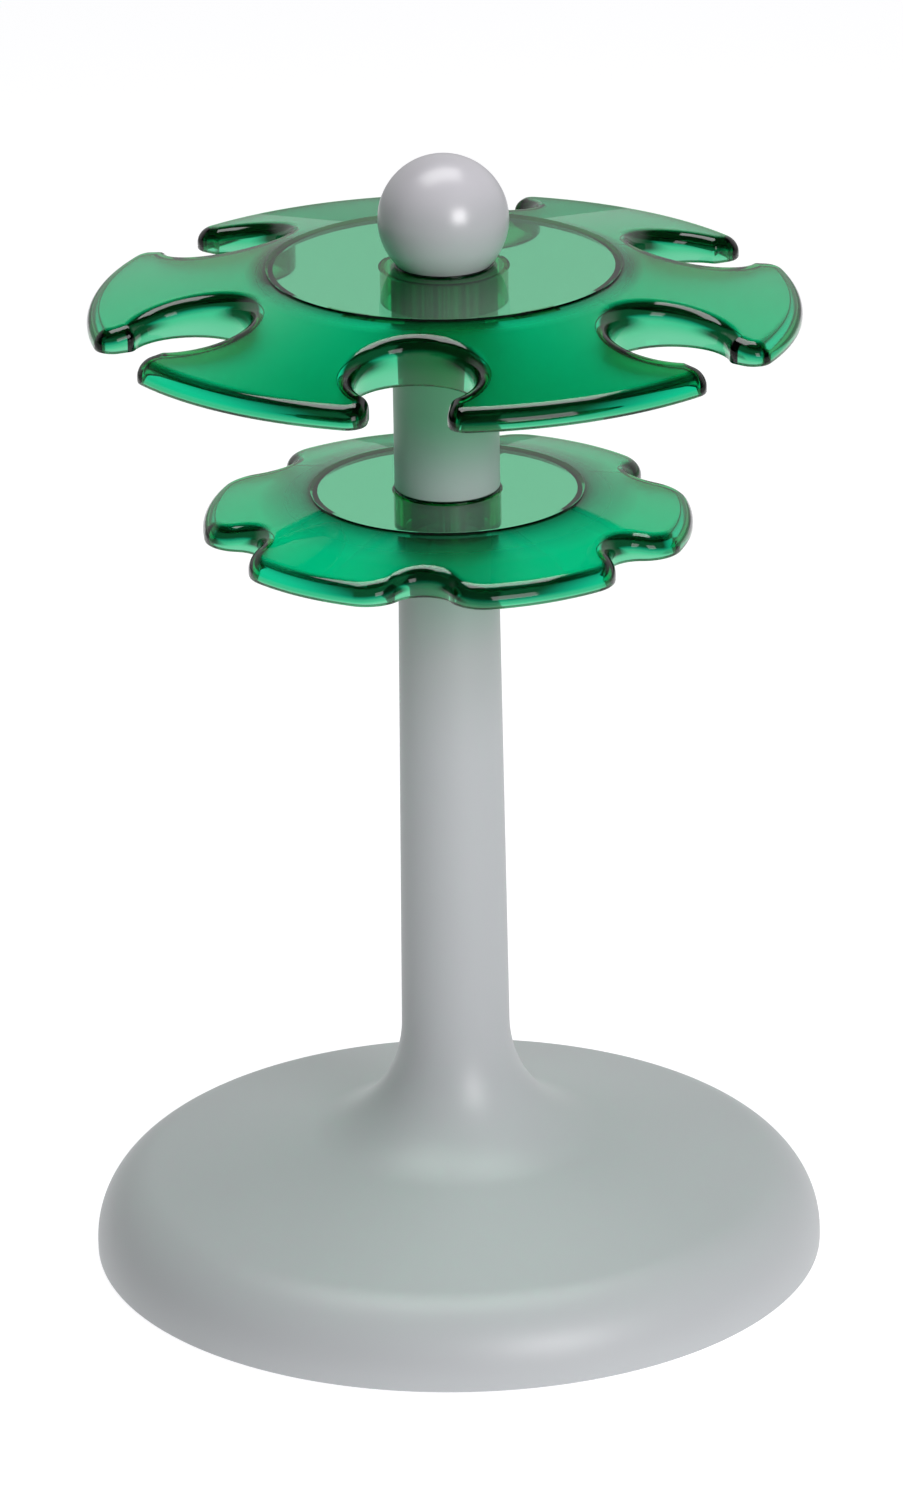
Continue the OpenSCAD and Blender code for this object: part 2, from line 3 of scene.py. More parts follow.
import bmesh
import bpy
import numpy as np
from mathutils import Matrix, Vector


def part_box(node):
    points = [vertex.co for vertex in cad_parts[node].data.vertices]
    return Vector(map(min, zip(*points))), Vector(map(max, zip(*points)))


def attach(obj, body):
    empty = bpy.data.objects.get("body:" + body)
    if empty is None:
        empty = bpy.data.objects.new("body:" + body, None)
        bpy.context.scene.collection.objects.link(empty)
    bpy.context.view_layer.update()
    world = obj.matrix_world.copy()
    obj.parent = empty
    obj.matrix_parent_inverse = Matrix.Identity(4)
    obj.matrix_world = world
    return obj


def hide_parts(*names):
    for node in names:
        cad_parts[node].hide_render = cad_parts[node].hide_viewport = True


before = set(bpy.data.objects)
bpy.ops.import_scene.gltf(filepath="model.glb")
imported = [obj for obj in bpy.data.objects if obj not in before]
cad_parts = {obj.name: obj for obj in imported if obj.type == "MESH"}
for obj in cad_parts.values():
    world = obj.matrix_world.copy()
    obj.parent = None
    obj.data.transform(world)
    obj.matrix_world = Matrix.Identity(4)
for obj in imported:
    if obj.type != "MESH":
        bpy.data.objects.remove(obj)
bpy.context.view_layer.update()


# ---------------------------------------------------------------- camera
# A long lens looks slightly down on the stand from in front, so that both discs show their
# upper faces. The camera is rolled by less than a degree, and its frame is upright. Lengths are in
# metres here and below, and slopes and turns in degrees where they aren't put into radians.
frame_px = 903
focal_px = 7727
sensor_mm = 36
eye = (0, -2.0567, 0.9528)
look_down = math.radians(21.257)
roll = math.radians(-0.894)
sees_to = 60

lens = bpy.data.cameras.new("studio_lens")
lens.sensor_fit = "HORIZONTAL"
lens.sensor_width = sensor_mm
lens.lens = focal_px * sensor_mm / frame_px
lens.clip_end = sees_to
camera = bpy.data.objects.new("studio_camera", lens)
bpy.context.scene.collection.objects.link(camera)
camera.matrix_world = (Matrix.Translation(eye) @ Matrix.Rotation(math.pi / 2 - look_down, 4, "X")
                       @ Matrix.Rotation(roll, 4, "Z"))
bpy.context.scene.camera = camera
bpy.context.scene.view_settings.view_transform = "Standard"


# ---------------------------------------------------------------- studio
# A seamless white sweep under a large softbox, with a lamp at the front right. The sweep glows a
# little itself, as one does that is lit from below, so the stand throws hardly any shadow.
class Wire:
    """A shader socket that counts as a number: each operator adds the Math node that works it out."""

    def __init__(self, tree, socket=None):
        self.tree, self.socket = tree, socket

    def fill(self, socket, value):
        """Links a wire to a node's socket, or sets the socket's own value. A colour gets an alpha of 1."""
        if isinstance(value, Wire):
            self.tree.links.new(value.socket, socket)
        else:
            socket.default_value = (*value, 1) if socket.type == "RGBA" else value

    def node(self, kind, settings=None, sockets=None, output=0):
        """Adds a node of a type: its settings come first, then the values or wires of its sockets.
        Gives one of its outputs as a wire."""
        made = self.tree.nodes.new(kind)
        for name, value in (settings or {}).items():
            setattr(made, name, value)
        for name, value in (sockets or {}).items():
            self.fill(made.inputs[name], value)
        return Wire(self.tree, made.outputs[output])

    def into(self, node, **sockets):
        """Fills sockets of a node that is already there. Their names have underscores for spaces."""
        for name, value in sockets.items():
            self.fill(self.tree.nodes[node].inputs[name.replace("_", " ")], value)

    def math(self, operation, *values):
        return self.node("ShaderNodeMath", {"operation": operation}, dict(enumerate(values)))

    def __add__(self, other):
        return self.math("ADD", self, other)

    def __sub__(self, other):
        return self.math("SUBTRACT", self, other)

    def __rsub__(self, other):
        return self.math("SUBTRACT", other, self)

    def __mul__(self, other):
        return self.math("MULTIPLY", self, other)

    __radd__ = __add__
    __rmul__ = __mul__

    def place(self):
        """The point's own coordinates on its piece, in metres."""
        return self.node("ShaderNodeTexCoord", output="Object")

    def part(self, axis):
        """One number of a vector: 0 for X, 1 for Y, 2 for Z."""
        return self.node("ShaderNodeSeparateXYZ", None, {0: self}, axis)

    def mark(self, name):
        """A number that the mesh carries for each of its points."""
        return self.node("ShaderNodeAttribute", {"attribute_name": name}, output="Fac")

    def step(self, low, high):
        """0 below low, 1 above high and a smooth rise between them."""
        return self.node("ShaderNodeMapRange", {"interpolation_type": "SMOOTHSTEP"},
                         {"Value": self, "From Min": low, "From Max": high})

    def mixed(self, first, second):
        """The first colour where this is 0, the second where it is 1. A Mix node takes them in its
        sockets 6 and 7 and gives a colour at its output 2."""
        return self.node("ShaderNodeMix", {"data_type": "RGBA"}, {0: self, 6: first, 7: second}, 2)

    def noise(self, scale, detail=2, roughness=0.5):
        """Noise on the piece's own coordinates, from 0 to 1, with scale cells in a metre."""
        return self.node("ShaderNodeTexNoise", None, {
            "Vector": self.place(), "Scale": scale, "Detail": detail, "Roughness": roughness})

    def lines(self, scale, detail=2):
        """Noise along this number alone, with scale cells in each unit of it."""
        return self.node("ShaderNodeTexNoise", {"noise_dimensions": "1D"},
                         {"W": self, "Scale": scale, "Detail": detail})

    def bump(self, height, depth, strength):
        """Turns a height from 0 to 1 into a normal: depth is in metres."""
        return self.node("ShaderNodeBump", None, {"Height": height, "Distance": depth, "Strength": strength})


def material(name):
    """A new material with one Principled shader, and a wire that adds nodes to it."""
    made = bpy.data.materials.new(name)
    made.use_nodes = True
    return made, Wire(made.node_tree)


def put(name, points, faces, finish, marks=None):
    """Makes one object from arrays of points in metres and of faces. Points that coincide are
    joined, which closes seams and poles, and edges that bend less than smooth_below shade smooth.
    Marks are named numbers, one per point, for the material to read."""
    same_point = 1e-7
    no_length = 1e-8
    smooth_below = math.radians(35)
    mesh = bpy.data.meshes.new(name)
    mesh.from_pydata(points.tolist(), [], faces.tolist())
    for mark, values in (marks or {}).items():
        mesh.attributes.new(mark, "FLOAT", "POINT").data.foreach_set("value", values)
    work = bmesh.new()
    work.from_mesh(mesh)
    bmesh.ops.remove_doubles(work, verts=work.verts, dist=same_point)
    bmesh.ops.dissolve_degenerate(work, edges=work.edges, dist=no_length)
    work.to_mesh(mesh)
    work.free()
    mesh.materials.append(finish)
    mesh.shade_smooth()
    mesh.set_sharp_from_angle(angle=smooth_below)
    piece = bpy.data.objects.new(name, mesh)
    bpy.context.scene.collection.objects.link(piece)
    return piece


# The glow fades with the distance from a point behind the stand, and sooner to the sides.
floor_half = 14
glow_y = 0.6
glow_squeeze = 1.5
fade_start, fade_end = 1.0, 1.5
lit_white, dim_white = (0.86, 0.86, 0.87), (0.25, 0.25, 0.25)
sweep, wire = material("sweep_paper")
spot = wire.node("ShaderNodeVectorMath", {"operation": "MULTIPLY_ADD"},
                 {0: wire.place(), 1: (glow_squeeze, 1, 1), 2: (0, -glow_y, 0)})
away = wire.node("ShaderNodeVectorMath", {"operation": "LENGTH"}, {0: spot}, "Value")
wire.into("Principled BSDF", Base_Color=(0.3, 0.3, 0.3), Roughness=0.9, Specular_IOR_Level=0,
          Emission_Color=away.step(fade_start, fade_end).mixed(lit_white, dim_white), Emission_Strength=1)
sweep_corners = floor_half * np.array([[-1, -1, 0], [1, -1, 0], [1, 1, 0], [-1, 1, 0]])
put("studio_floor", sweep_corners, np.array([[0, 1, 2, 3]]), sweep)

# The room is dark but for a grey backdrop behind the stand.
room_dark, backdrop_grey = (0.02, 0.02, 0.02), (0.5, 0.5, 0.5)
world = bpy.data.worlds.new("studio_room")
world.use_nodes = True
bpy.context.scene.world = world
room = Wire(world.node_tree)
sky = room.node("ShaderNodeTexCoord", output="Generated")
backdrop = sky.part(1).step(0.1, 0.6) * (1 - sky.part(2).step(0.42, 0.62))
room.into("Background", Color=backdrop.mixed(room_dark, backdrop_grey), Strength=1)


def softbox(name, place, width, height, watts, colour=(1, 1, 1)):
    """A rectangular studio light at one point, turned so that it faces the middle of the stand."""
    middle = (0, 0, 0.2)
    light = bpy.data.lights.new(name, "AREA")
    light.shape = "RECTANGLE"
    light.size, light.size_y = width, height
    light.energy = watts
    light.color = colour
    made = bpy.data.objects.new(name, light)
    bpy.context.scene.collection.objects.link(made)
    x, y, z = np.subtract(place, middle)
    turn, lift = math.atan2(x, -y), math.atan2(z, math.hypot(x, y))
    made.matrix_world = (Matrix.Translation(place) @ Matrix.Rotation(turn, 4, "Z")
                         @ Matrix.Rotation(math.pi / 2 - lift, 4, "X"))
    return made


lamp_place = (1.03, -1.81, 1.0)
lamp_size = 0.85
overhead = softbox("top_softbox", (-0.07, 0.27, 1.8), width=1.45, height=0.8, watts=19)
front = softbox("front_lamp", lamp_place, lamp_size, lamp_size, watts=34, colour=(1, 0.985, 1))
glint = softbox("glint_lamp", lamp_place, lamp_size, lamp_size, watts=8, colour=(1, 0.97, 1))


# ---------------------------------------------------------------- foot and column
# One hollow moulding in satin light grey ABS: a shallow round foot that sweeps up into a slim
# tapered column. It is injection moulded from the top of the column, with a fine spark finish.
def arc(centre, radius, start, end, steps):
    """Points on a circle: centre plus radius times cosine and sine, from start to end in degrees."""
    turn = np.radians(np.linspace(start, end, steps + 1))
    return np.array(centre) + radius * np.stack([np.cos(turn), np.sin(turn)], 1)


def quads(rows, columns):
    """Faces between neighbouring rows and columns of a grid that closes on itself both ways."""
    row, column = np.arange(rows)[:, None], np.arange(columns)[None, :]
    next_row, next_column = (row + 1) % rows, (column + 1) % columns
    cells = np.stack([row * columns + column, row * columns + next_column,
                      next_row * columns + next_column, next_row * columns + column], 2)
    return cells.reshape(-1, 4)


def revolve(profile, steps):
    """Turns a closed loop of (radius, height) points about the Z axis: each point becomes a circle of
    radius times cosine and sine. A loop that runs up the outside and down the inside faces outwards."""
    profile = np.asarray(profile)
    turn = np.linspace(0, 2 * np.pi, steps, endpoint=False)
    radius, height = profile[:, :1], profile[:, 1:]
    points = np.stack([radius * np.cos(turn), radius * np.sin(turn),
                       np.broadcast_to(height, (len(profile), steps))], 2)
    return points.reshape(-1, 3), quads(len(profile), steps)


(_, _, foot_low), (foot_r, _, column_top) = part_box("base_shell")
rim_z = 0.0031              # centre of the rim's round
rim_round = 0.0215
foot_slope = 13             # the foot's upper face, which the rim and the flare touch
neck_r = 0.0156             # the column where the flare ends
flare_round = 0.036
column_draft = 0.55         # taper of the column on each side
shell_wall = 0.003
deck_t = 0.01               # the deck that closes the column's top round the upper bush
bush_hole_r = 0.00602
bush_recess_r = 0.0081
bush_recess_t = 0.001
soft_edge = 0.0004          # round on the outer edges of all grey pieces
foot_steps = 256

slope, draft = math.radians(foot_slope), math.radians(column_draft)
deck_z = column_top - deck_t
recess_z = column_top - bush_recess_t
rim_x = foot_r - rim_round
flare_x = neck_r + flare_round * math.cos(draft)
flare_z = rim_z + ((rim_x - flare_x) * math.sin(slope) + rim_round + flare_round) / math.cos(slope)


def foot_skin(inset, top):
    """The foot's outer line moved in by inset: the rim's arc, the flare's arc and the column's taper."""
    neck_z = flare_z - flare_round * math.sin(draft)
    top_r = neck_r - (top - neck_z) * math.tan(draft) - inset / math.cos(draft)
    return np.vstack([
        arc((rim_x, rim_z), rim_round - inset, 0, 90 - foot_slope, steps=40),
        arc((flare_x, flare_z), flare_round + inset, -90 - foot_slope, -180 + column_draft, steps=60),
        [[top_r, top]]])


outer = foot_skin(0, column_top - soft_edge)
inner = foot_skin(shell_wall, deck_z)
foot_loop = np.vstack([
    arc((foot_r - soft_edge, foot_low + soft_edge), soft_edge, -90, 0, steps=4),
    outer,
    arc((outer[-1, 0] - soft_edge, column_top - soft_edge), soft_edge, 0, 90, steps=4),
    [[bush_recess_r, column_top], [bush_recess_r, recess_z], [bush_hole_r, recess_z], [bush_hole_r, deck_z]],
    inner[::-1],
    [[inner[0, 0], foot_low]]])


def satin_grey(name):
    """The plastic of the stand without its colour: one fine grain steers its roughness and its bump."""
    made, wire = material(name)
    grain = wire.noise(2600, roughness=0.6)
    wire.into("Principled BSDF", IOR=1.5, Roughness=grain * 0.1 + 0.38,
              Normal=wire.bump(grain, depth=0.00003, strength=0.35))
    return made, wire


cloud_dark, cloud_light = (0.443, 0.461, 0.474), (0.463, 0.479, 0.493)
# Towards its top the column turns darker and greener. This is painted shade for the green-tinted shadow that
# the lower disc casts on it.
column_painted_shade = (0.315, 0.345, 0.335)
column_shade_from, column_shade_to = 0.15, 0.21
stand, wire = satin_grey("satin_grey_abs")
clouded = wire.noise(14, detail=3).mixed(cloud_dark, cloud_light)
wire.into("Principled BSDF",
          Base_Color=wire.place().part(2).step(column_shade_from, column_shade_to).mixed(clouded, column_painted_shade))
foot = put("foot_and_column", *revolve(foot_loop, foot_steps), stand)
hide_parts("base_shell")
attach(foot, "stand")


# ---------------------------------------------------------------- spacer sleeve
# A plain tube in the same satin grey, cut square with softened edges. It keeps the discs apart:
# it stands on the lower disc's seat and carries the upper one, whose collar hangs round its top.
(_, _, sleeve_low), (_, _, sleeve_high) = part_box("spacer_sleeve")
sleeve_r = 0.0149
sleeve_wall = 0.0025
sleeve_bore = sleeve_r - sleeve_wall
turn_steps = 192
sleeve_loop = np.vstack([
    arc((sleeve_r - soft_edge, sleeve_low + soft_edge), soft_edge, -90, 0, steps=4),
    arc((sleeve_r - soft_edge, sleeve_high - soft_edge), soft_edge, 0, 90, steps=4),
    [[sleeve_bore, sleeve_high], [sleeve_bore, sleeve_low]]])

# Towards its top the sleeve turns dark green. This is painted shade for the green-tinted shadow and light
# that the discs above cast on it.
sleeve_grey, sleeve_painted_shade = (0.453, 0.47, 0.483), (0.14, 0.31, 0.21)
shade_low, shade_high = sleeve_low + 0.002, sleeve_low + 0.026
tube, wire = satin_grey("satin_grey_tube")
shade = wire.place().part(2).step(shade_low, shade_high)
wire.into("Principled BSDF", Base_Color=shade.mixed(sleeve_grey, sleeve_painted_shade))
sleeve = put("spacer_tube", *revolve(sleeve_loop, turn_steps), tube)
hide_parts("spacer_sleeve")
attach(sleeve, "carousel")


# ---------------------------------------------------------------- lobed discs
# Two clear green acrylic mouldings with even walls. A flat web carries a cone-shaped face, whose
# rounded shoulder and skirt follow the rim, the throats and the round openings.
place_n = 6                 # places for pipettes round the discs
place_turn = -6.4           # the first place, from straight ahead
disc_slope = 10.8           # fall of the cone-shaped face
web_step = 0.0006           # the web's edge above the cone
shoulder = 0.0043           # round between the face and the skirt
skirt_h = 0.0024            # the skirt below the shoulder
skirt_wall = 0.003
face_t = 0.003
web_t = 0.002
low_round = 0.0007          # round on the skirt's lower edge, outside
inner_round = 0.7 * low_round
inner_fillet = 0.0014       # hollow round between the skirt and the cone's underside
seat_h = 0.0005             # the seats of the sleeve and the ball above the web
spindle_bore = 0.0041
spigot_r = 0.0123           # the spigots that centre the sleeve on both discs
spigot_wall = 0.002
spigot_h = 0.003
opening_ring = 0.0765       # centres of the upper disc's round openings, from the axis
opening_r = 0.0165
throat_half = 0.0108
lobe_round = 0.0054         # corner between a throat and the rim
nose_round = 0.0026         # corner between a throat and its opening
notch_ring = 0.0665         # centres of the lower disc's notches, from the axis
notch_r = 0.0085
mouth_round = 0.011         # corner between a notch and the rim
chamfer = 0.0002
lead_in = 0.0003            # chamfer on top of the lower spigot
web_chamfer = 0.00015
cone_start = 0.0003         # the first bit of the cone, which keeps the web's edge crisp
ring_chamfer = 0.0004
root_out = 0.0008           # where the slope under the web's edge starts, in from the edge
root_in = 0.0022            # and where it ends
tightest = 0.00015          # what an inset leaves of a round at least
steps_rim = 40
steps_shoulder = 14
steps_fillet = 5
sector = 360 / place_n
fall = math.tan(math.radians(disc_slope))


def on_arc(centre, radius, start, end, steps):
    """An arc without its first point, which the line before it already has."""
    return arc(centre, radius, start, end, steps)[1:]


def half_slot(inset, rim):
    """Half of a round opening and its throat, inset into the lobe: the opening's arc, the nose that
    touches both the opening and the throat, the throat's straight side and the lobe's corner."""
    nose, lobe = max(nose_round - inset, tightest), max(lobe_round - inset, tightest)
    hole, side, rim = opening_r + inset, throat_half + inset, rim - inset
    nose_y, lobe_y = side + nose, side + lobe
    nose_x = opening_ring + math.sqrt((hole + nose) ** 2 - nose_y ** 2)
    lobe_x = math.sqrt((rim - lobe) ** 2 - lobe_y ** 2)
    nose_turn = math.degrees(math.atan2(nose_y, nose_x - opening_ring))
    lobe_turn = math.degrees(math.atan2(lobe_y, lobe_x))
    return np.vstack([[[opening_ring - hole, 0]],
                      on_arc((opening_ring, 0), hole, 180, nose_turn, steps=44),
                      on_arc((nose_x, nose_y), nose, nose_turn - 180, -90, steps=8),
                      [[(nose_x + lobe_x) / 2, side], [lobe_x, side]],
                      on_arc((lobe_x, lobe_y), lobe, -90, lobe_turn, steps=16)])


def half_notch(inset, rim):
    """Half of an open notch, inset into the lobe: its hollow arc, then the mouth's round, which
    touches both the hollow and the rim."""
    mouth, hole, rim = mouth_round - inset, notch_r + inset, rim - inset
    reach, span = rim - mouth, hole + mouth
    mouth_x = (reach ** 2 - span ** 2 + notch_ring ** 2) / (2 * notch_ring)
    mouth_y = math.sqrt(reach ** 2 - mouth_x ** 2)
    hole_turn = math.degrees(math.atan2(mouth_y, mouth_x - notch_ring))
    rim_turn = math.degrees(math.atan2(mouth_y, mouth_x))
    return np.vstack([[[notch_ring - hole, 0]],
                      on_arc((notch_ring, 0), hole, 180, hole_turn, steps=30),
                      on_arc((mouth_x, mouth_y), mouth, hole_turn - 180, rim_turn, steps=26)])


def lobes(edge_line):
    """All lobes as one array [lobe, row, column, xy]. A row runs from one place to the next at a
    constant radius: that of its point on the half outline."""
    radius = np.hypot(edge_line[:, 0], edge_line[:, 1])[None, :, None]
    half = np.arctan2(edge_line[:, 1], edge_line[:, 0])[None, :, None]
    across = np.linspace(0, 1, steps_rim + 1)[None, None, :]
    start = np.radians(-90 + place_turn + sector * np.arange(place_n))[:, None, None]
    turn = start + half + (math.radians(sector) - 2 * half) * across
    return np.stack([radius * np.cos(turn), radius * np.sin(turn)], 3)


def rim_walk(grid):
    """The border of the lobes in order round the disc: out along one side of each lobe, across its
    rim and back along the other side. Works on positions and on vertex numbers alike."""
    return np.concatenate([np.concatenate([lobe[:, 0], lobe[-1, 1:], lobe[-2:0:-1, -1]]) for lobe in grid])


def held(loop):
    """The same loop with two more points on each long straight, near its ends, so that smooth shading
    keeps the straight flat and its rounds tight."""
    margin = 0.00025
    made = [loop[0]]
    for start, end in zip(np.array(loop[:-1]), np.array(loop[1:])):
        length = np.linalg.norm(end - start)
        if length > 4 * margin:
            nudge = (end - start) * margin / length
            made += [tuple(start + nudge), tuple(end - nudge)]
        made.append(tuple(end))
    return made


def rise(rim, web_r):
    """Height of a disc's web above its lower edge: step, cone, shoulder and skirt."""
    return web_step + fall * (rim - shoulder - web_r) + shoulder + skirt_h


def lobed_disc(half_line, rim, web_r, web_z, upper_loop, lower_loop):
    """One closed surface. Row by row from the axis: the upper loop of circles up to the web's edge, the
    cone z = web_z - web_step - fall * (r - web_r) over the lobes, the quarter round of the shoulder,
    the skirt, its lower rounds, the inside of the skirt, the cone's underside and the lower loop.

    Returns points, faces and the marks of the points. bend rises from 0 to 1 round the shoulder and is
    2 on the skirt, outside and inside. rim is 1 on both along the outer rim and 0 in the places. face
    is 1 on the cone, its shoulder and its underside, frost on that underside alone, collar on the ring
    that hangs below the web, and step on the web's edge and on what stands above the web."""
    rim_fade = 0.002    # the mark rim fades out over this depth from the rim
    touch = 1e-5        # heights and radii closer than this are the same
    low_z = web_z - rise(rim, web_r)
    points, faces = [], []
    marks = {"bend": [], "rim": [], "face": [], "frost": [], "collar": [], "step": []}
    last = None

    def add(block, **given):
        """Adds points and their marks, which are 0 where they aren't given. Returns their numbers."""
        block = np.asarray(block).reshape(-1, 3)
        first = sum(map(len, points))
        points.append(block)
        for mark in marks:
            marks[mark].append(np.broadcast_to(given.get(mark, 0.0), len(block)))
        return np.arange(first, first + len(block))

    def join(low, high):
        """Faces between two closed rows of vertex numbers."""
        faces.append(np.stack([low, high, np.roll(high, -1), np.roll(low, -1)], 1))

    def grow(block, **given):
        """Adds a closed row and joins it to the row before."""
        nonlocal last
        row = add(block, **given)
        if last is not None:
            join(last, row)
        last = row

    def level(flat, z):
        """Flat points at one height."""
        return np.concatenate([flat, np.full((*flat.shape[:-1], 1), z)], -1)

    def cone(flat, drop):
        """Flat points on the cone, lowered by drop."""
        z = web_z - web_step - fall * (np.linalg.norm(flat, axis=-1) - web_r) - drop
        return np.concatenate([flat, z[..., None]], -1)

    def outline(inset):
        """The border of the lobes, moved in by inset."""
        return rim_walk(lobes(half_line(inset, rim)))

    def sheet(inset, drop, under):
        """The cone over all lobes, as vertex numbers [lobe, row, column]. The one under faces down."""
        grid = lobes(half_line(inset, rim))
        numbers = add(cone(grid, drop), face=1, frost=float(under)).reshape(grid.shape[:3])
        low, low_on = numbers[:, :-1, :-1], numbers[:, :-1, 1:]
        high, high_on = numbers[:, 1:, :-1], numbers[:, 1:, 1:]
        cells = np.stack([low, high, high_on, low_on], 3).reshape(-1, 4)
        faces.append(cells[:, ::-1] if under else cells)
        return numbers

    around = np.radians(-90 + place_turn + np.arange(place_n * steps_rim) * sector / steps_rim)
    ring = np.stack([np.cos(around), np.sin(around)], 1)
    for r, z in held(upper_loop):
        grow(level(ring * r, z), face=r > web_r, step=r > web_r - touch or z > web_z + touch)
    top = sheet(shoulder, 0, False)
    join(last, top[:, 0, :-1].reshape(-1))

    last = rim_walk(top)
    at_rim = np.clip((np.linalg.norm(outline(0), axis=1) - rim) / rim_fade + 1, 0, 1)
    for turn in np.linspace(0, 90, steps_shoulder + 1)[1:]:
        sin, cos = math.sin(math.radians(turn)), math.cos(math.radians(turn))
        grow(cone(outline(shoulder * (1 - sin)), shoulder * (1 - cos)), bend=turn / 90, rim=at_rim, face=1)
    lower_rounds = np.vstack([
        arc((low_round, low_z + low_round), low_round, 180, 270, steps=3),
        arc((skirt_wall - inner_round, low_z + inner_round), inner_round, 270, 360, steps=3)])
    for inset, z in lower_rounds:
        grow(level(outline(inset), z), bend=2, rim=at_rim)
    for turn in np.linspace(0, 90, steps_fillet + 1)[:-1]:
        sin, cos = math.sin(math.radians(turn)), math.cos(math.radians(turn))
        inset, drop = skirt_wall + inner_fillet * (1 - cos), face_t + inner_fillet * (1 - sin)
        grow(cone(outline(inset), drop), bend=2, rim=at_rim)

    under = sheet(skirt_wall + inner_fillet, face_t, True)
    join(last, rim_walk(under))
    last = under[:, 0, :-1].reshape(-1)
    for r, z in held(lower_loop):
        grow(level(ring * r, z), collar=r < web_r / 2 and z < web_z - web_t - 10 * touch)
    join(last, np.arange(len(ring)))
    joined_marks = {mark: np.concatenate(values) for mark, values in marks.items()}
    return np.vstack(points), np.vstack(faces), joined_marks


def web_edge(web_r, web_z):
    """The web's raised edge, from the web out to the first bit of the cone."""
    return [(web_r - web_chamfer, web_z), (web_r, web_z - web_chamfer), (web_r, web_z - web_step),
            (web_r + cone_start, web_z - web_step - cone_start * fall)]


def web_root(web_r, web_z):
    """The slope from the cone's underside to the web's."""
    return [(web_r - root_out, web_z - web_step - face_t), (web_r - root_in, web_z - web_t)]


def hanging_ring(outer_r, inner_r, high, low):
    """A ring that hangs from high to low, from its root outside to its root inside."""
    return [(outer_r + ring_chamfer, high), (outer_r, high - ring_chamfer), (outer_r, low + chamfer),
            (outer_r - chamfer, low), (inner_r, low), (inner_r, high)]


# The shader tints light by the square root of its base colour at each face that the light crosses,
# so these colours look much lighter than they read. The shoulder carries painted shade: a dark line
# that stands in for the dark room seen through the round. The painted line is weaker where the rim
# turns to the sides and broader where a place's edge does, by the normal's direction in the world.
# The web's edge and what stands above the web, such as the seats and spigots, get the same painted shade.
web_green, cone_green = (0.37, 0.7, 0.51), (0.002, 0.97, 0.67)
skirt_green, skirt_foot_green = (0.05, 0.68, 0.42), (0.5, 0.85, 0.68)
streak_painted_shade, streak_painted_light = (0.0005, 0.25, 0.1), (0.001, 0.95, 0.55)
painted_shade_green = (0.0003, 0.01, 0.003)
shadow_tint = (0.95, 0.99, 0.97)
depth_tint, depth_density = (0, 0.78, 0.51), 450

green, wire = material("clear_green_acrylic")
# The next lines paint shade: a near-black line round the shoulder, set by the normal's world direction, and
# on the web's edge, seats and spigots.
bend, rim_side = wire.mark("bend"), wire.mark("rim")
facing = wire.node("ShaderNodeNewGeometry", output="Normal")
sideways = wire.math("ABSOLUTE", facing.part(0)).step(0.3, 0.7)
shoulder_painted_shade = bend.step(0.08, 0.3) * (1 - bend.step(0.76, 1.1)) * (1 - rim_side * sideways * 0.75)
flank_painted_shade = bend.step(0, 0.1) * (1 - bend.step(1.1, 1.5)) * (1 - rim_side) * sideways
painted_shade_line = wire.math("MAXIMUM", wire.math("MAXIMUM", shoulder_painted_shade, flank_painted_shade), wire.mark("step"))
# On the collar and the hub's ribs, painted dark and light streaks stand in for the shaded sleeve seen through
# the plastic.
around = wire.math("ARCTAN2", wire.place().part(1), wire.place().part(0))
painted_streaks = around.lines(9, detail=3).step(0.35, 0.65).mixed(streak_painted_shade, streak_painted_light)
skirt = bend.step(1.05, 1.75).mixed(skirt_green, skirt_foot_green)
face_or_skirt = bend.step(0.8, 1).mixed(wire.mark("face").mixed(web_green, cone_green), skirt)
wire.into("Principled BSDF", IOR=1.49, Transmission_Weight=1,
          Base_Color=painted_shade_line.mixed(wire.mark("collar").mixed(face_or_skirt, painted_streaks), painted_shade_green),
          Roughness=(wire.mark("frost") * 0.5
                     + bend.step(0, 0.2) * (1 - bend.step(1, 1.3)) * 0.05 + 0.02))

# On its way to a lamp a ray goes straight through, hardly tinted at the faces, but it is still
# tinted by the depth of plastic that it passes.
plastic = Wire(wire.tree, wire.tree.nodes["Principled BSDF"].outputs["BSDF"])
see_through = wire.node("ShaderNodeBsdfTransparent", None, {"Color": shadow_tint})
to_lamp = wire.node("ShaderNodeLightPath", output="Is Shadow Ray")
wire.into("Material Output",
          Surface=wire.node("ShaderNodeMixShader", None, {0: to_lamp, 1: plastic, 2: see_through}),
          Volume=wire.node("ShaderNodeVolumeAbsorption", None,
                           {"Color": depth_tint, "Density": depth_density}))

lower_r = 0.0692
lower_web_r = 0.0389
hub_r = 0.0152
lower_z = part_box("lower_disc")[0][2]
lower_web_z = lower_z + rise(lower_r, lower_web_r)
lower_under = lower_web_z - web_t
lower_seat = lower_web_z + seat_h
spigot_top = lower_seat + spigot_h
lower_top = [
    (spindle_bore, spigot_top), (spigot_r - lead_in, spigot_top), (spigot_r, spigot_top - lead_in),
    (spigot_r, lower_seat), (hub_r - chamfer, lower_seat), (hub_r, lower_seat - chamfer),
    (hub_r, lower_web_z),
    *web_edge(lower_web_r, lower_web_z)]
lower_low = [
    *web_root(lower_web_r, lower_web_z),
    *hanging_ring(hub_r, sleeve_bore, lower_under, lower_z),
    (spindle_bore, lower_under)]

rib_n = 8
rib_inner = 0.0061
rib_t = 0.0016
rib_lift = 0.002            # the ribs' lower ends above the hub's
rib_gap = 0.00005           # room at the ribs' ends, so that no faces coincide


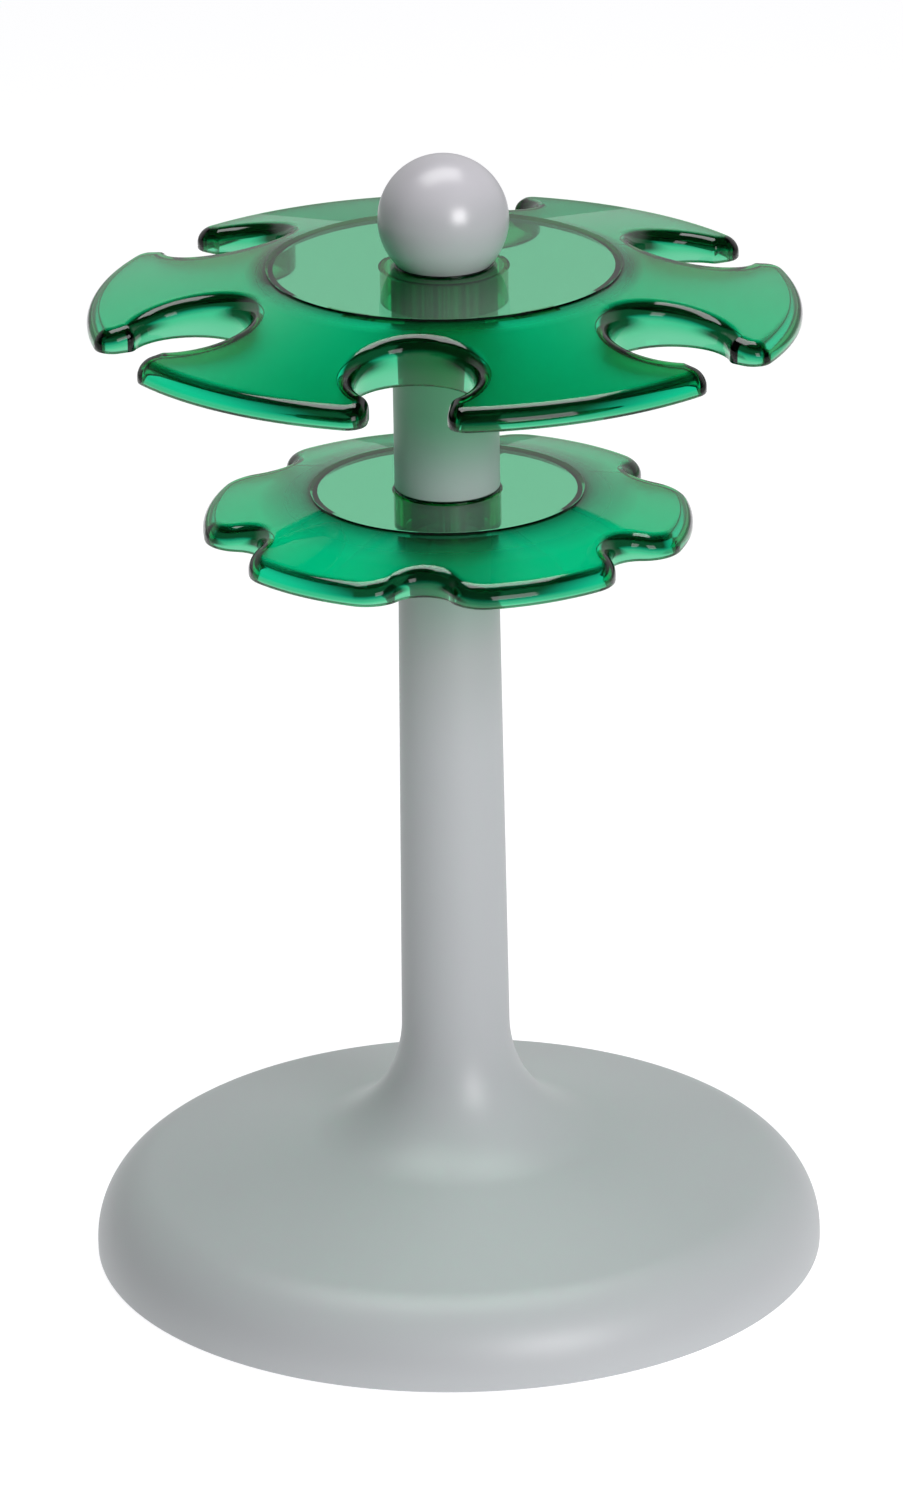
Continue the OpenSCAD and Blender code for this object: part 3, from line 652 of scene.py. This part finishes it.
def hub_ribs():
    """Straight ribs inside the hub, each a box whose corners are turned about the Z axis."""
    out, side, up = np.meshgrid([rib_inner, sleeve_bore - rib_gap], [-rib_t / 2, rib_t / 2],
                                [lower_z + rib_lift, lower_under - rib_gap], indexing="ij")
    turn = (np.arange(rib_n) * 2 * np.pi / rib_n)[:, None]
    out, side, up = out.reshape(1, 8), side.reshape(1, 8), up.reshape(1, 8)
    corners = np.stack([out * np.cos(turn) - side * np.sin(turn), out * np.sin(turn) + side * np.cos(turn),
                        np.broadcast_to(up, (rib_n, 8))], 2)
    sides = np.array([[0, 1, 3, 2], [4, 6, 7, 5], [0, 4, 5, 1], [2, 3, 7, 6], [0, 2, 6, 4], [1, 5, 7, 3]])
    return corners.reshape(-1, 3), (sides[None] + 8 * np.arange(rib_n)[:, None, None]).reshape(-1, 4)


points, faces, marks = lobed_disc(half_notch, lower_r, lower_web_r, lower_web_z, lower_top, lower_low)
rib_points, rib_faces = hub_ribs()
faces = np.vstack([faces, rib_faces + len(points)])
points = np.vstack([points, rib_points])
marks = {mark: np.concatenate([values, np.full(len(rib_points), float(mark == "collar"))])
         for mark, values in marks.items()}
lower = put("lower_lobed_disc", points, faces, green, marks)
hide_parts("lower_disc")
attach(lower, "carousel")

upper_r = 0.1
upper_web_r = 0.05
collar_h = 0.01
collar_r = 0.018
collar_bore = 0.0168
ball_seat_r = 0.0139
upper_web_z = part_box("upper_disc")[0][2] + rise(upper_r, upper_web_r)
upper_under = upper_web_z - web_t
upper_seat = upper_web_z + seat_h
upper_top = [
    (spindle_bore, upper_seat), (ball_seat_r - chamfer, upper_seat), (ball_seat_r, upper_seat - chamfer),
    (ball_seat_r, upper_web_z),
    *web_edge(upper_web_r, upper_web_z)]
upper_low = [
    *web_root(upper_web_r, upper_web_z),
    *hanging_ring(collar_r, collar_bore, upper_under, upper_under - collar_h),
    (spigot_r, upper_under), (spigot_r, upper_under - spigot_h),
    (spigot_r - spigot_wall, upper_under - spigot_h), (spigot_r - spigot_wall, upper_under),
    (spindle_bore, upper_under)]
points, faces, marks = lobed_disc(half_slot, upper_r, upper_web_r, upper_web_z, upper_top, upper_low)
upper = put("upper_lobed_disc", points, faces, green, marks)
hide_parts("upper_disc")
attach(upper, "carousel")


def disc_group(name, state):
    """Both discs as a group that a light takes in or leaves out."""
    group = bpy.data.collections.new(name)
    for disc in (lower, upper):
        group.objects.link(disc)
    for member in group.collection_objects:
        member.light_linking.link_state = state
    return group


# The clear discs don't shade the foot from the softbox, and only the dim lamp glints on them.
without_discs = disc_group("without_discs", "EXCLUDE")
overhead.light_linking.blocker_collection = without_discs
front.light_linking.receiver_collection = without_discs
glint.light_linking.receiver_collection = disc_group("discs_alone", "INCLUDE")


# ---------------------------------------------------------------- ball knob
# A polished ball in the same light grey, moulded round a brass insert. It stands on a short round
# foot, screws down on the spindle and clamps the stack, and the whole carousel is turned by it.
(_, _, ball_low), (_, _, ball_top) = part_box("ball_knob")
ball_r = 0.01835
ball_foot_r = 0.0136
recess_r = 0.0101           # recess for the clamp washer
recess_h = 0.0018
insert_r = 0.0066           # pocket of the insert, above the recess
insert_h = 0.01202
recess_top = ball_low + recess_h
insert_top = recess_top + insert_h
foot_turn = math.degrees(math.acos(ball_foot_r / ball_r))
ball_loop = np.vstack([
    [[0, insert_top], [insert_r, insert_top], [insert_r, recess_top], [recess_r, recess_top],
     [recess_r, ball_low]],
    arc((ball_foot_r - soft_edge, ball_low + soft_edge), soft_edge, -90, 0, steps=4),
    arc((0, ball_top - ball_r), ball_r, -foot_turn, 90, steps=96)])
knob, wire = material("polished_grey_plastic")
cloud = wire.noise(60, detail=3)
wire.into("Principled BSDF", IOR=1.52, Coat_Weight=0.1, Coat_Roughness=0.2,
          Base_Color=cloud.mixed((0.54, 0.53, 0.565), (0.565, 0.555, 0.59)),
          Roughness=cloud * 0.06 + 0.27,
          Normal=wire.bump(wire.noise(300), depth=0.00003, strength=0.15))
ball = put("ball", *revolve(ball_loop, turn_steps), knob)
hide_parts("ball_knob")
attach(ball, "carousel")


# ---------------------------------------------------------------- inside and underneath
# The foot is weighted by a blackened iron casting and closed by a textured grey cover, held by four
# zinc-plated screws and standing on four rubber feet. The spindle's washers are zinc-plated too.
def dress(finish, *nodes):
    """Gives CAD nodes one material in all their slots."""
    for node in nodes:
        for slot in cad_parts[node].material_slots:
            slot.material = finish


casting, wire = material("blackened_iron")
sand = wire.noise(900, detail=4, roughness=0.6)
wire.into("Principled BSDF",
          Base_Color=wire.noise(40, detail=3).mixed((0.016, 0.016, 0.018), (0.034, 0.033, 0.034)),
          Roughness=sand * 0.25 + 0.45,
          Normal=wire.bump(sand, depth=0.0003, strength=0.6))
dress(casting, "base_ballast")

cover, wire = material("textured_grey_plastic")
spark = wire.noise(1800, detail=3, roughness=0.6)
rubbed = wire.noise(25, detail=4, roughness=0.6).step(0.55, 0.75)
wire.into("Principled BSDF",
          Base_Color=rubbed.mixed((0.125, 0.13, 0.13), (0.155, 0.16, 0.16)),
          Roughness=spark * 0.2 - rubbed * 0.1 + 0.5,
          Normal=wire.bump(spark, depth=0.00008, strength=0.6))
dress(cover, "base_cover")

zinc, wire = material("zinc_plated_steel")
cloud = wire.noise(350, detail=3)
wire.into("Principled BSDF", Metallic=1,
          Base_Color=cloud.mixed((0.5, 0.51, 0.54), (0.6, 0.6, 0.58)),
          Roughness=cloud * 0.2 + 0.22,
          Normal=wire.bump(wire.noise(3000), depth=0.00002, strength=0.4))
dress(zinc, "cover_screws", "clamp_washer", "end_washer")

rubber, wire = material("foot_rubber")
dust = wire.noise(120, detail=4, roughness=0.65)
wire.into("Principled BSDF",
          Base_Color=dust.step(0.5, 0.8).mixed((0.011, 0.011, 0.012), (0.03, 0.03, 0.03)),
          Roughness=dust * 0.15 + 0.75,
          Normal=wire.bump(wire.noise(2200), depth=0.00005, strength=0.5))
dress(rubber, "rubber_feet")


# ---------------------------------------------------------------- bearing parts
# A spoked plug and two flanged bushes in natural bearing plastic hold the ground steel spindle. A
# washer of the same plastic carries the weight, and a black spring ring keeps the spindle in.
natural, wire = material("natural_bearing_plastic")
cloud = wire.noise(180, detail=3)
wire.into("Principled BSDF",
          Base_Color=cloud.mixed((0.57, 0.54, 0.44), (0.63, 0.6, 0.5)),
          Roughness=cloud * 0.12 + 0.34,
          Normal=wire.bump(wire.noise(2400), depth=0.00002, strength=0.4))
dress(natural, "bush_carrier", "lower_bush", "upper_bush", "thrust_washer")


def turned(name, dark, light, marks_per_metre, rough):
    """A metal with fine marks round the Z axis, from noise along Z alone."""
    metal, wire = material(name)
    tool_marks = wire.place().part(2).lines(marks_per_metre)
    wire.into("Principled BSDF", Metallic=1,
              Base_Color=wire.noise(200, detail=3).mixed(dark, light),
              Roughness=tool_marks * 0.15 + (rough - 0.07),
              Normal=wire.bump(tool_marks, depth=0.00001, strength=0.5))
    return metal


dress(turned("ground_steel", (0.5, 0.5, 0.51), (0.58, 0.58, 0.59), marks_per_metre=9000, rough=0.25),
      "spindle")
dress(turned("black_spring_steel", (0.03, 0.03, 0.035), (0.06, 0.06, 0.065), marks_per_metre=4000, rough=0.4),
      "retaining_ring")
dress(turned("turned_brass", (0.6, 0.38, 0.12), (0.68, 0.46, 0.17), marks_per_metre=6000, rough=0.28),
      "knob_insert")
